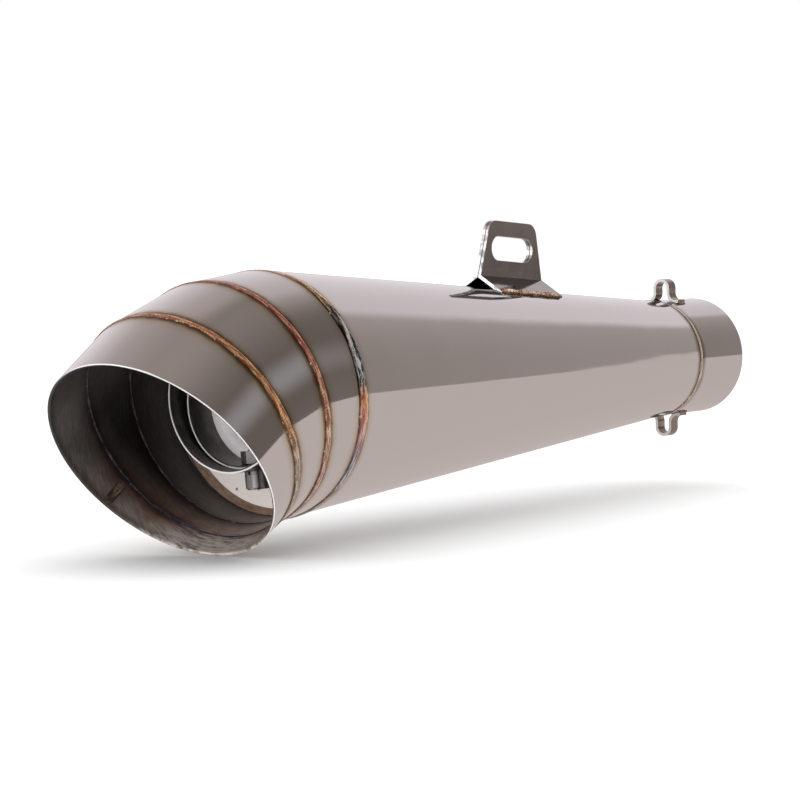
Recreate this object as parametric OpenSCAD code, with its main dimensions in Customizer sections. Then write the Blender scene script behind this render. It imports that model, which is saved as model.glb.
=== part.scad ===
// Motorcycle exhaust muffler: a tapered round can with a turned-down mitred outlet.
//
// Frame: the origin is the centre of the inlet collar's open end. The muffler's axis
// runs along -X to the mouth, +Z is up and the hanger stands on top. Most shapes are
// turned about that axis, so their outlines are lists of [radius, distance from the
// inlet's end face]. Below the body's axis the elbow turns the mouth down, towards -Z.

/* [Inlet collar] */
// Outside diameter of the inlet collar
collar_d = 54; // [52:0.5:58]
// Wall of the inlet collar
collar_wall = 1.5; // [1.2:0.1:1.5]
// Length of the inlet collar, from its open end to the cone
collar_len = 38; // [36:1:45]

/* [Body] */
// Length of the tapered body, from the collar to the centre of its first mitre
body_len = 291; // [280:1:320]
// Outside diameter of the elbow, and of the body's large end
body_d = 98; // [96:1:104]
// Sheet thickness of the body and the elbow
shell_wall = 1.2; // [1:0.1:1.5]

/* [Elbow] */
// Length of the first elbow ring on its centre line
ring_1_len = 22; // [20:1:26]
// Length of the second elbow ring on its centre line
ring_2_len = 23.5; // [22:0.5:28]
// Length of the mouth segment on its centre line
mouth_len = 21; // [18:1:30]
// Downward angle of the first elbow ring
ring_1_angle = 6; // [4:1:8]
// Downward angle of the second elbow ring
ring_2_angle = 19; // [16:1:22]
// Downward angle of the mouth segment
mouth_angle = 33.5; // [30:0.5:36]
// Extra slant of the mouth's cut edge
mouth_cut = 5; // [0:1:8]

/* [Outlet pipe and end plate] */
// Outside diameter of the outlet pipe
pipe_d = 58; // [57:0.5:60]
// Wall of the outlet pipe
pipe_wall = 1.2; // [1:0.1:1.2]
// Distance from the inlet's end face to the outlet pipe's open rim
pipe_end = 351; // [349:1:353]
// Distance from the inlet's end face to the end plate's rear face
plate_end = 322.5; // [320:0.5:323]
// Thickness of the end plate
plate_t = 1.5; // [1:0.5:2]

/* [Core and packing] */
// Outside diameter of the perforated core tube
core_d = 50.9; // [50:0.1:50.9]
// Wall of the core tube and the insert's tube
core_wall = 1; // [0.8:0.1:1.2]
// Diameter of the core's holes
core_hole_d = 4; // [3:0.5:5]
// Rows of holes along the core
core_rows = 12; // [6:1:14]

/* [Removable insert] */
// Outside diameter of the insert's sleeve
sleeve_d = 50.4; // [50:0.1:50.8]
// Distance from the inlet's end face to the sleeve's open rim
sleeve_end = 344.5; // [343:0.5:346]
// Distance from the inlet's end face to the insert's end ring
ring_start = 330.6; // [330:0.1:330.6]
// Outside diameter of the insert's perforated tube
tube_d = 35; // [30:1:35]
// Distance from the inlet's end face to the closed end of the insert
insert_tail = 290; // [290:1:300]

/* [Retaining screw] */
// Distance from the inlet's end face to the screw
screw_at = 336.5; // [336.5:0.1:337]
// Turn of the screw about the axis, away from straight down
screw_roll = 6; // [0:1:10]

/* [Hanger] */
// Distance from the inlet's end face to the middle of the hanger
hanger_at = 155.8; // [150:0.1:160]
// Length of the hanger at its feet
hanger_len = 47.4; // [44:0.2:52]
// Height of the hanger above the body
hanger_h = 29.4; // [28:0.2:34]
// Sheet thickness of each hanger half
hanger_t = 1.5; // [1:0.1:2]
// End-to-end length of the hanger slot
slot_len = 31.6; // [28:0.2:32]
// Width of the hanger slot
slot_w = 10.6; // [8:0.2:11]

/* [Spring hooks] */
// Distance from the inlet's end face to the middle of the hooks
hook_at = 25.6; // [22:0.2:30]
// Width of the hooks' strip
hook_w = 6; // [4:0.5:8]
// Height of the hooks above the collar
hook_h = 10; // [9:0.5:12]
// Thickness of the hooks' strip
hook_t = 1.4; // [1:0.1:1.6]

/* [Hidden] */
$fn = 96;

// Clearance between parts that slide, are set in by hand or lie against a tapered wall
fit = 0.05;
// Larger than any part, for cutting planes
far = 200;

collar_r = collar_d / 2;
body_r = body_d / 2;
pipe_r = pipe_d / 2;
pipe_bore = pipe_r - pipe_wall;
core_r = core_d / 2;
sleeve_r = sleeve_d / 2;
sleeve_bore = sleeve_r - pipe_wall;
tube_r = tube_d / 2;

// The body's taper, which makes it tangent to a ball of the elbow's radius at its first mitre
taper = asin(body_r / norm([collar_r, body_len])) - atan(collar_r / body_len);
// How far the first mitre moves back because its one side is a cone
mitre_normal = [1 / cos(taper) + cos(ring_1_angle), sin(ring_1_angle)];
mitre_back = body_r * tan(taper) / norm(mitre_normal);
mitre_1_angle = atan2(mitre_normal[1], mitre_normal[0]);

// A direction in the plane of symmetry, turned down from -X by the angle a
function heading(a) = [-cos(a), 0, -sin(a)];

mitre_1 = [-(collar_len + body_len), 0, 0];
mitre_2 = mitre_1 + ring_1_len * heading(ring_1_angle);
mitre_3 = mitre_2 + ring_2_len * heading(ring_2_angle);
mouth_mid = mitre_3 + mouth_len * heading(mouth_angle);

// Cutting planes, each a point and a downward angle
plane_1 = [mitre_1 - mitre_back * heading(mitre_1_angle), mitre_1_angle];
plane_2 = [mitre_2, (ring_1_angle + ring_2_angle) / 2];
plane_3 = [mitre_3, (ring_2_angle + mouth_angle) / 2];
plane_mouth = [mouth_mid, mouth_angle + mouth_cut];

// Weld beads of the elbow and of the inlet
bead_w = 4;
bead_h = 0.8;
// The far half of an elbow bead stands this much higher, a clean step off its near half
bead_step = 0.05;
inlet_bead_w = 2.4;
inlet_bead_h = 0.5;
// Leg of the fillet welds inside
fillet = 2.5;
// Where the bead inside the mouth segment runs, from its top
seam_turn = 120;
seam_r = 2;
seam_proud = 1.1;

// The core runs from just behind the collar, where it stops the link pipe, to inside the
// outlet pipe
core_start = collar_len + 0.5;
core_end = 318;
pipe_start = 312;
packing_start = 62;
core_first_row = 60;
core_last_row = 302;
core_row_pitch = (core_last_row - core_first_row) / (core_rows - 1);
holes_per_row = 8;

// The screw pulls the sleeve against the outlet pipe, off centre
insert_drop = pipe_bore - sleeve_r - fit;
flange_r = 3;
neck_len = 2;
neck_bore = tube_r + fit;
// Where the end ring's rounded lip turns into its neck
lip_at = ring_start - flange_r;
cap_hole_r = 6;
tube_hole_r = 1.75;
tube_rows = 3;
tube_row_pitch = 10;

// M6 retaining screw, washer and nut; heights are distances from the body's axis
thread_r = 3;
screw_hole_r = 3.3;
slot_half = 3.4;
head_r = 5;
head_h = 6;
socket_af = 5;
socket_depth = 3;
head_edge = 0.8;
washer_t = 1.2;
washer_r = 4.9;
washer_split = 1;
washer_top = pipe_r + 0.02;
washer_bottom = washer_top + washer_t;
head_top = washer_bottom + 0.02;
nut_af = 10;
nut_h = 5;
nut_bottom = insert_drop + sqrt(sleeve_bore ^ 2 - (nut_af / 2) ^ 2) - fit;
nut_top = nut_bottom - nut_h;
screw_tip = nut_top - 0.5;

// Hanger, in a frame that stands square on the body's upper edge line
fold_h = 4.4;
side_lean = 14.5;
corner_r = 6;
slot_mid = 17.5;
foot_reach = 12.5;
foot_drop = 32;
hanger_bead_r = 1.5;

// Spring hooks: bends measured on the strip's outside
hook_top_r = 4.3;
hook_flare_r = 3.2;
hook_foot = 1.6;
// How far the feet would sink into the collar, before they are cut to its curve
hook_sink = 0.2;
lap = 0.3;
hook_bead_r = 1.5;

steel = [0.78, 0.76, 0.76];
steel_dark = [0.45, 0.43, 0.42];
weld_bronze = [0.62, 0.42, 0.28];
plate_cream = [0.86, 0.80, 0.76];
wool_grey = [0.80, 0.78, 0.70];
hardware = [0.55, 0.55, 0.57];

// ---------- shared shapes ----------

// A shape turned about the muffler's axis from an outline of [radius, distance] points
module turned(outline) {
    rotate([0, -90, 0]) rotate_extrude() polygon(outline);
}

// A tube about the muffler's axis between two distances from the inlet
module axis_tube(r_out, r_in, from, to) {
    turned([[r_in, from], [r_out, from], [r_out, to], [r_in, to]]);
}

// Everything beyond a cutting plane that is moved along by shift
module beyond(plane, shift = 0) {
    translate(plane[0] + shift * heading(plane[1]))
        rotate([0, -90 - plane[1], 0])
            translate([-far, -far, 0])
                cube([2 * far, 2 * far, 2 * far]);
}

// A long round bar through a point, along a downward angle
module bar(point, angle, r) {
    translate(point)
        rotate([0, -90 - angle, 0])
            translate([0, 0, -far / 2])
                cylinder(r = r, h = far);
}

// The space between two cutting planes of whatever is given
module between(plane_a, plane_b, shift_a = 0, shift_b = 0) {
    difference() {
        intersection() {
            children();
            beyond(plane_a, shift_a);
        }
        beyond(plane_b, shift_b);
    }
}

// The solid that the tapered body fills, grown by a wall or a bead, past its large end
module body_solid(grow = 0) {
    past = body_len + 20;
    r_in = collar_r + grow / cos(taper);
    translate([-collar_len, 0, 0])
        rotate([0, -90, 0])
            cylinder(r1 = r_in, r2 = r_in + past * tan(taper), h = past);
}

// Radius of the body's inner wall at a distance from the inlet
function inner_at(s) = collar_r + (s - collar_len) * tan(taper) - shell_wall / cos(taper);

// One ring of the elbow, as a sheet tube
module elbow_tube(point, angle) {
    difference() {
        bar(point, angle, body_r);
        bar(point, angle, body_r - shell_wall);
    }
}

// A band that lies on an elbow tube, a hair off it where it is lifted
module elbow_band(point, angle, lift = 0) {
    difference() {
        bar(point, angle, body_r + bead_h + lift);
        bar(point, angle, body_r + lift);
    }
}

// Rows of round holes through a tube's wall, staggered from row to row
module wall_holes(r_wall, first, rows, pitch, hole_r) {
    for (row = [0 : rows - 1])
        for (turn = [0 : holes_per_row - 1])
            rotate([(turn + (row % 2) / 2) * 360 / holes_per_row, 0, 0])
                translate([-(first + row * pitch), 0, r_wall - 2 * core_wall])
                    cylinder(r = hole_r, h = 3 * core_wall, $fn = 24);
}

// Turns its children to the screw's side, so that their -Z is the screw's direction
module screw_side() {
    rotate([-screw_roll, 0, 0]) children();
}

// The insert's own axis, which the screw pulls off centre
module insert_axis() {
    screw_side() translate([0, 0, -insert_drop]) children();
}

// A round bar along the screw's axis between two distances from the body's axis
module screw_bar(r, from, to) {
    screw_side()
        translate([-screw_at, 0, -to])
            cylinder(r = r, h = to - from);
}

// ---------- outer shell ----------

module inlet_collar() {
    color(steel) axis_tube(collar_r, collar_r - collar_wall, 0, collar_len);
}

module cone_shell() {
    color(steel)
        difference() {
            body_solid();
            body_solid(-shell_wall);
            beyond(plane_1);
        }
}

module elbow_ring_1() {
    color(steel) between(plane_1, plane_2) elbow_tube(mitre_1, ring_1_angle);
}

module elbow_ring_2() {
    color(steel) between(plane_2, plane_3) elbow_tube(mitre_2, ring_2_angle);
}

module mouth_segment() {
    color(steel) between(plane_3, plane_mouth) elbow_tube(mitre_3, mouth_angle);
}

// ---------- welds of the shell ----------

module inlet_weld() {
    half = inlet_bead_w / 2;
    crown = half * 0.6;
    cone_r = collar_r + half * tan(taper);
    color(weld_bronze)
        turned([
            [collar_r, collar_len - half],
            [collar_r + inlet_bead_h, collar_len - crown],
            [collar_r + inlet_bead_h, collar_len + crown],
            [cone_r, collar_len + half],
            [collar_r, collar_len]
        ]);
}

module elbow_weld_1() {
    color(weld_bronze) {
        between(plane_1, plane_1, -bead_w / 2, 0)
            difference() {
                body_solid(bead_h);
                body_solid();
            }
        between(plane_1, plane_1, 0, bead_w / 2)
            elbow_band(mitre_1, ring_1_angle, bead_step);
    }
}

module elbow_weld_2() {
    color(weld_bronze) {
        between(plane_2, plane_2, -bead_w / 2, 0) elbow_band(mitre_1, ring_1_angle);
        between(plane_2, plane_2, 0, bead_w / 2)
            elbow_band(mitre_2, ring_2_angle, bead_step);
    }
}

module elbow_weld_3() {
    color(weld_bronze) {
        between(plane_3, plane_3, -bead_w / 2, 0) elbow_band(mitre_2, ring_2_angle);
        between(plane_3, plane_3, 0, bead_w / 2)
            elbow_band(mitre_3, mouth_angle, bead_step);
    }
}

// The lengthwise seam of the rolled mouth segment shows as a bead on its inner wall
module mouth_seam_weld() {
    wall = body_r - shell_wall;
    color(weld_bronze)
        between(plane_3, plane_mouth, 2, -0.5)
            intersection() {
                bar(mitre_3, mouth_angle, wall, $fn = 256);
                translate(mitre_3)
                    rotate([0, -90 - mouth_angle, 0])
                        rotate([0, 0, seam_turn])
                            translate([wall + seam_r - seam_proud, 0, -far / 2])
                                cylinder(r = seam_r, h = far);
            }
}

// ---------- end plate and outlet pipe ----------

module end_plate() {
    front = plate_end - plate_t;
    color(plate_cream) axis_tube(inner_at(front) - fit, pipe_r + fit, front, plate_end);
}

module end_plate_weld() {
    color(weld_bronze)
        turned([
            [inner_at(plate_end) - fit, plate_end],
            [inner_at(plate_end + fillet) - fit, plate_end + fillet],
            [inner_at(plate_end) - fillet, plate_end]
        ]);
}

module outlet_pipe() {
    color(steel_dark)
        difference() {
            axis_tube(pipe_r, pipe_bore, pipe_start, pipe_end);
            screw_bar(screw_hole_r, sleeve_bore - 4, pipe_r + 4);
        }
}

module outlet_pipe_weld() {
    color(weld_bronze)
        turned([
            [pipe_r, plate_end],
            [pipe_r + fillet, plate_end],
            [pipe_r, plate_end + fillet]
        ]);
}

// ---------- core and packing ----------

module perforated_core() {
    color(steel_dark)
        difference() {
            axis_tube(core_r, core_r - core_wall, core_start, core_end);
            wall_holes(core_r, core_first_row, core_rows, core_row_pitch, core_hole_d / 2);
        }
}

module core_rear_ring() {
    color(steel_dark) axis_tube(pipe_bore - fit, core_r + fit, pipe_start + 1, core_end);
}

module packing_wool() {
    loose = 0.2;
    front = plate_end - plate_t - loose;
    color(wool_grey)
        turned([
            [core_r + loose, packing_start],
            [inner_at(packing_start) - loose, packing_start],
            [inner_at(front) - loose, front],
            [pipe_r + loose, front],
            [pipe_r + loose, pipe_start - loose],
            [core_r + loose, pipe_start - loose]
        ]);
}

// ---------- removable insert ----------

// The sleeve's slot runs from the screw to its inner end, so a slack screw lets it slide
module insert_sleeve() {
    color(steel)
        difference() {
            insert_axis() axis_tube(sleeve_r, sleeve_bore, ring_start, sleeve_end);
            screw_bar(slot_half, sleeve_bore - 4, pipe_r + 4);
            screw_side()
                translate([-screw_at, -slot_half, -pipe_r])
                    cube([screw_at - ring_start + 1, 2 * slot_half, 8]);
        }
}

// Section of the end ring: a flat ring, a rounded lip and a short neck round the tube
module end_ring_section() {
    lip_mid = neck_bore + core_wall + flange_r;
    outer = sleeve_bore - fit;
    translate([lip_mid, ring_start]) square([outer - lip_mid, core_wall]);
    translate([lip_mid, lip_at])
        intersection() {
            difference() {
                circle(r = flange_r + core_wall);
                circle(r = flange_r);
            }
            translate([-2 * flange_r, 0]) square(2 * flange_r);
        }
    translate([neck_bore, lip_at - neck_len]) square([core_wall, neck_len]);
}

// The end ring is notched, so that it passes over the nut
module insert_end_ring() {
    notch_half = nut_af / 2 + 0.4;
    color(plate_cream)
        difference() {
            insert_axis() rotate([0, -90, 0]) rotate_extrude() end_ring_section();
            screw_side()
                translate([-ring_start - core_wall - 1, -notch_half, -pipe_r])
                    cube([flange_r + neck_len + core_wall + 2, 2 * notch_half,
                        pipe_r - screw_tip + 0.3]);
        }
}

module insert_perforated_tube() {
    color(steel_dark)
        insert_axis()
            difference() {
                axis_tube(tube_r, tube_r - core_wall, insert_tail + core_wall, lip_at);
                wall_holes(tube_r, insert_tail + 8, tube_rows, tube_row_pitch, tube_hole_r);
            }
}

module insert_end_cap() {
    color(steel_dark)
        insert_axis() axis_tube(tube_r, cap_hole_r, insert_tail, insert_tail + core_wall);
}

// ---------- retaining screw ----------

module clamp_nut() {
    color(hardware)
        screw_side()
            translate([-screw_at, 0, -nut_bottom])
                difference() {
                    cylinder(d = nut_af / cos(30), h = nut_h, $fn = 6);
                    translate([0, 0, -1]) cylinder(r = thread_r + fit, h = nut_h + 2);
                }
}

// A split spring washer
module lock_washer() {
    color(hardware)
        difference() {
            screw_bar(washer_r, washer_top, washer_bottom);
            screw_bar(thread_r + 0.1, washer_top - 1, washer_bottom + 1);
            screw_side()
                translate([-screw_at - 2 * washer_r, -washer_split / 2, -washer_bottom - 1])
                    cube([2 * washer_r, washer_split, washer_t + 2]);
        }
}

// Cap screw with a chamfered head and a hexagon socket
module retaining_screw() {
    head_bottom = head_top + head_h;
    color(hardware)
        screw_side()
            translate([-screw_at, 0, 0])
                difference() {
                    rotate_extrude()
                        polygon([
                            [0, -head_bottom],
                            [head_r - head_edge, -head_bottom],
                            [head_r, -head_bottom + head_edge],
                            [head_r, -head_top],
                            [thread_r, -head_top],
                            [thread_r, -screw_tip - 0.5],
                            [thread_r - 0.5, -screw_tip],
                            [0, -screw_tip]
                        ]);
                    translate([0, 0, -head_bottom - 1])
                        cylinder(d = socket_af / cos(30), h = socket_depth + 1, $fn = 6);
                }
}

// ---------- hanger ----------

// A frame that stands on the body's upper edge line at the hanger's middle
module on_hanger() {
    r = collar_r + (hanger_at - collar_len) * tan(taper);
    translate([-hanger_at, 0, r]) rotate([0, taper, 0]) children();
}

// Outline of the upright tab, with its slot
module tab_outline() {
    height = hanger_h - fold_h;
    inset = height * tan(side_lean);
    half = hanger_len / 2;
    // the corner circles' middles, so that they touch the top and the leaning sides
    corner_x = half - inset - corner_r * (1 - sin(side_lean)) / cos(side_lean);
    side_x = corner_r * cos(side_lean);
    side_y = corner_r * sin(side_lean);
    difference() {
        union() {
            polygon([
                [-half, 0],
                [half, 0],
                [corner_x + side_x, height - corner_r + side_y],
                [corner_x, height - corner_r],
                [corner_x, height],
                [-corner_x, height],
                [-corner_x, height - corner_r],
                [-corner_x - side_x, height - corner_r + side_y]
            ]);
            for (side = [-1, 1])
                translate([side * corner_x, height - corner_r]) circle(r = corner_r);
        }
        translate([0, slot_mid - fold_h])
            union() {
                square([slot_len - slot_w, slot_w], center = true);
                for (side = [-1, 1])
                    translate([side * (slot_len - slot_w) / 2, 0]) circle(d = slot_w);
            }
    }
}

// Section of the splayed foot on the -Y side, from the fold outwards and down
module foot_section() {
    bend_z = fold_h + hanger_t * (cos(foot_drop) - (1 - sin(foot_drop)) * tan(foot_drop));
    end_z = fold_h - foot_reach * tan(foot_drop);
    polygon([
        [0, fold_h],
        [0, bend_z],
        [-hanger_t, bend_z],
        [-foot_reach, end_z + hanger_t / cos(foot_drop)],
        [-foot_reach, end_z]
    ]);
}

// One stamped half on the -Y side: an upright tab and a foot splayed over the body
module hanger_half() {
    difference() {
        on_hanger() {
            translate([0, 0, fold_h]) rotate([90, 0, 0]) linear_extrude(hanger_t) tab_outline();
            rotate([90, 0, 90])
                translate([0, 0, -hanger_len / 2])
                    linear_extrude(hanger_len) foot_section();
        }
        body_solid();
    }
}

module hanger_right() {
    color(steel) hanger_half();
}

module hanger_left() {
    color(steel) mirror([0, 1, 0]) hanger_half();
}

// A bead along the lower edge of each foot
module hanger_welds() {
    r = collar_r + (hanger_at - collar_len) * tan(taper);
    bead_y = foot_reach + 0.2;
    bead_z = sqrt(r ^ 2 - bead_y ^ 2) - r;
    color(weld_bronze)
        difference() {
            on_hanger()
                for (side = [-1, 1])
                    translate([-hanger_len / 2, side * bead_y, bead_z])
                        rotate([0, 90, 0]) cylinder(r = hanger_bead_r, h = hanger_len);
            body_solid();
            hanger_half();
            mirror([0, 1, 0]) hanger_half();
        }
}

// ---------- spring hooks ----------

// Section of a hook's strip: a round top, two legs and two flared feet
module hook_section() {
    foot_u = hook_top_r + hook_flare_r;
    foot_v = sqrt(collar_r ^ 2 - foot_u ^ 2) - hook_sink;
    flare_v = foot_v + hook_t + hook_flare_r;
    top_v = collar_r + hook_h - hook_top_r;
    translate([0, top_v])
        difference() {
            circle(r = hook_top_r);
            circle(r = hook_top_r - hook_t);
            translate([-far / 2, -far]) square(far);
        }
    for (side = [0, 1])
        mirror([side, 0]) {
            translate([hook_top_r - hook_t, flare_v]) square([hook_t, top_v - flare_v]);
            // laps the leg and the round top, so that the strip is one piece
            translate([hook_top_r - hook_t + lap, top_v - lap])
                square([hook_t - 2 * lap, 2 * lap]);
            translate([foot_u, flare_v])
                intersection() {
                    difference() {
                        circle(r = hook_flare_r + hook_t);
                        circle(r = hook_flare_r);
                    }
                    translate([-2 * hook_flare_r, -2 * hook_flare_r]) square(2 * hook_flare_r);
                }
            translate([foot_u, foot_v]) square([hook_foot, hook_t]);
        }
}

// A bent strip that stands on the collar
module spring_hook() {
    difference() {
        translate([-hook_at - hook_w / 2, 0, 0])
            rotate([90, 0, 90]) linear_extrude(hook_w) hook_section();
        rotate([0, 90, 0]) cylinder(r = collar_r, h = 4 * hook_at, center = true);
    }
}

module spring_hook_top() {
    color(steel) spring_hook();
}

module spring_hook_bottom() {
    color(steel) mirror([0, 0, 1]) spring_hook();
}

// A bead at the toe of each hook's foot
module hook_welds() {
    bead_u = hook_top_r + hook_flare_r + hook_foot;
    bead_v = sqrt(collar_r ^ 2 - bead_u ^ 2);
    color(weld_bronze)
        difference() {
            for (side = [-1, 1], end = [-1, 1])
                translate([-hook_at - hook_w / 2, side * bead_u, end * (bead_v + 0.3)])
                    rotate([0, 90, 0]) cylinder(r = hook_bead_r, h = hook_w);
            rotate([0, 90, 0]) cylinder(r = collar_r, h = 4 * hook_at, center = true);
            spring_hook();
            mirror([0, 0, 1]) spring_hook();
        }
}

// ---------- the assembly ----------

inlet_collar();
cone_shell();
elbow_ring_1();
elbow_ring_2();
mouth_segment();
inlet_weld();
elbow_weld_1();
elbow_weld_2();
elbow_weld_3();
mouth_seam_weld();
end_plate();
end_plate_weld();
outlet_pipe();
outlet_pipe_weld();
perforated_core();
core_rear_ring();
packing_wool();
insert_sleeve();
insert_end_ring();
insert_perforated_tube();
insert_end_cap();
clamp_nut();
lock_washer();
retaining_screw();
hanger_left();
hanger_right();
hanger_welds();
spring_hook_top();
spring_hook_bottom();
hook_welds();
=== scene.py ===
import math

import bmesh
import bpy
import numpy as np
from mathutils import Matrix, Vector, noise


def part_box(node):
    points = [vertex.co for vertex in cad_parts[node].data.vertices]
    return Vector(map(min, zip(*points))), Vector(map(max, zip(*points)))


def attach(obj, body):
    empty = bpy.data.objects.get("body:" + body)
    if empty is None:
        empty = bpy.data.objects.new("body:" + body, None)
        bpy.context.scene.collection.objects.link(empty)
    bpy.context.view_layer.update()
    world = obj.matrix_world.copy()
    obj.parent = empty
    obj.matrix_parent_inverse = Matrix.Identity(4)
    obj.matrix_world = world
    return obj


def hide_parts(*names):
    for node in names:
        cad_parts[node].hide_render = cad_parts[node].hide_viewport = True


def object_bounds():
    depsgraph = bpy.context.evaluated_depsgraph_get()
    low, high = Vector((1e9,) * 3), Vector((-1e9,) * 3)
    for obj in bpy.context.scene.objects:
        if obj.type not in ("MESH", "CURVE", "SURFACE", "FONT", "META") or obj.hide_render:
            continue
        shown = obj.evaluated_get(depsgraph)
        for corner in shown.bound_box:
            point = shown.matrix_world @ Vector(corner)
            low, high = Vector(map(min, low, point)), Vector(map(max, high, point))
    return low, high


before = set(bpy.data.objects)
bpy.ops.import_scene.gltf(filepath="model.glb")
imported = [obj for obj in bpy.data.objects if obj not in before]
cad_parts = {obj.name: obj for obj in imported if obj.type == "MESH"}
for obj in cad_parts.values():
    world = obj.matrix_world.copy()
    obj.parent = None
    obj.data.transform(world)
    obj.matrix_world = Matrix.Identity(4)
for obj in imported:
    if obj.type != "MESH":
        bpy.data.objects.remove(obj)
packed_low, packed_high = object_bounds()

# Looks of an exhaust muffler, around the frame's CAD nodes. Lengths are metres, tones are linear.
MM = 0.001
BODY = "root"  # every piece made here is welded to the muffler
TURNS = 224  # facets round a sheet tube
SEED = 11
SHARP_FROM = math.radians(38)
SUPPORT = 0.012  # share of a sheet's length where a loop keeps its end's shading flat

# Rounding of the sheet's cut edges
COLLAR_RIM = 0.3 * MM
MOUTH_RIM = 0.35 * MM

# Weld beads: width, height, pitch of the ripples and their height
ELBOW_WIDTHS = (3.8 * MM, 3.3 * MM, 3.4 * MM)
ELBOW_HEIGHT = 0.6 * MM
ELBOW_PITCH = 1.3 * MM
ELBOW_RIPPLE = 0.04 * MM
MOLTEN = (38, 104)  # degrees from the top where the first elbow weld pooled
BURNT = (0.22, 0.50)  # share of the half turn where the pool's cone side is burnt
ROOT_WIDTH = 1.1 * MM
INLET_WIDTH = 2.4 * MM
SEAM_WIDTH = 4.0 * MM
HANGER_WIDTH = 3.6 * MM
HANGER_PITCH = 2.4 * MM
HOOK_WIDTH = 1.7 * MM
WELD_SINK = 0.3 * MM  # how deep a bead's skirt goes below the sheet's surface

# Metals
STEEL = (0.78, 0.765, 0.76)
SOOT_DARK, SOOT_GREY = (0.06, 0.052, 0.05), (0.16, 0.145, 0.14)
WHITE = (1.0, 1.0, 1.0)

# The studio that the polished steel mirrors: a few flat tones
TABLE = (0.57, 0.50, 0.48)
TABLE_NEAR = (0.95, 0.93, 0.93)
BACKDROP_LOW = (0.82, 0.77, 0.80)
BACKDROP_HIGH = (0.48, 0.42, 0.41)
ROOM_DARK = (0.15, 0.125, 0.11)
ROOM_LIGHT = (0.40, 0.35, 0.335)
LAMP = (0.40, 0.385, 0.40)
CEILING = (0.33, 0.28, 0.255)
WINDOW = (0.95, 0.93, 0.95)

# Its edges, in degrees: turned from the camera's right hand, or raised from level
BACKDROP_EDGE = 38.5  # where the backdrop ends, at the table
BACKDROP_BOW = 52.0  # how much further round it ends at 60 degrees up
BACKDROP_BLUR = 1.0
ROOM_REACH = 30.0  # how far past the backdrop its light fades
HORIZON_ROOM, HORIZON_BACKDROP = -1.8, 5.0
DOME_LOW, DOME_HIGH = 1.7, 2.2  # strength of the white light on matte surfaces

# Floor
FLOOR_GAP = 0.3 * MM
FLOOR_HALF = 6.0
PAPER = (0.60, 0.60, 0.60)
PAPER_GRAIN = (0.62, 0.62, 0.62)

# The camera stands on the mouth's side, slightly above, and looks past the body's middle
AZIMUTH, ELEVATION, ROLL = math.radians(-53.63), math.radians(3.394), math.radians(-1.236)
DISTANCE = 1.293268
LENS = 137.65
MIDDLE = Vector(((packed_low[0] + packed_high[0]) / 2, 0.0, 0.0))
AIM_RIGHT, AIM_UP = -0.015905, -0.008594


# ---------- measuring the frame ----------


def points_of(node):
    """A CAD node's vertices."""
    return np.array([v.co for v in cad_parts[node].data.vertices], float)


def cut_ends(node):
    """A cut tube's two flat ends, inlet side first: a point on its axis, and the downstream normal."""
    ends = []
    for side in (1, -1):
        faces = [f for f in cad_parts[node].data.polygons if f.normal.x * side > 0.7]
        area = sum(f.area for f in faces)
        point = sum((f.center * f.area for f in faces), Vector()) / area
        normal = sum((f.normal * f.area for f in faces), Vector()).normalized() * -side
        ends.append((np.array(point), np.array(normal)))
    return ends


class Sheet:
    """A round sheet tube, straight or tapered, that is cut by a plane at each end."""

    def __init__(self, start, axis, radius, wall, near, far, slope=0.0):
        self.start, self.axis = np.array(start, float), np.array(axis, float)
        self.radius, self.wall, self.slope = radius, wall, slope
        self.near, self.far = near, far
        up = np.array((0.0, 0.0, 1.0))
        up = up - (up @ self.axis) * self.axis
        self.up = up / np.linalg.norm(up)
        self.side = np.array((0.0, 1.0, 0.0))

    def spokes(self, turns):
        """Directions square to the axis, counted from the top."""
        return np.outer(np.cos(turns), self.up) + np.outer(np.sin(turns), self.side)

    def at(self, turns, plane, depth=0.0, along=0.0):
        """Points a depth below the outer surface, where it meets a plane, moved along the sheet."""
        spokes = self.spokes(turns)
        rays = self.axis + self.slope * spokes
        lean = math.hypot(1, self.slope)
        base = self.start + spokes * (self.radius - depth * lean)
        point, normal = plane
        run = ((point - base) @ normal) / (rays @ normal)
        return base + rays * (run + along)[:, None]


def measured_tube(node):
    """The straight tube that a CAD node is."""
    near, far = cut_ends(node)
    axis = far[0] - near[0]
    axis /= np.linalg.norm(axis)
    rel = points_of(node) - near[0]
    off = np.linalg.norm(rel - np.outer(rel @ axis, axis), axis=1)
    return Sheet(near[0], axis, off.max(), off.max() - off.min(), near, far)


def measured_cone(node, collar):
    """The tapered tube that begins at the collar's end."""
    far = cut_ends(node)[1]
    start = collar.far[0]
    co = points_of(node)
    off, run = np.hypot(co[:, 1], co[:, 2]), start[0] - co[:, 0]
    beyond = run > 0.1
    slope = ((off - collar.radius)[beyond] / run[beyond]).max()
    small = off[run < 1e-4]
    wall = (small.max() - small.min()) / math.hypot(1, slope)
    plane = (start, np.array((-1.0, 0.0, 0.0)))
    return Sheet(start, (-1, 0, 0), collar.radius, wall, plane, far, slope)


COLLAR = measured_tube("inlet_collar")
CONE = measured_cone("cone_shell", COLLAR)
RING_1 = measured_tube("elbow_ring_1")
RING_2 = measured_tube("elbow_ring_2")
MOUTH = measured_tube("mouth_segment")
MITRES = [CONE.far, RING_1.far, RING_2.far]


# ---------- making meshes ----------


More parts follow.
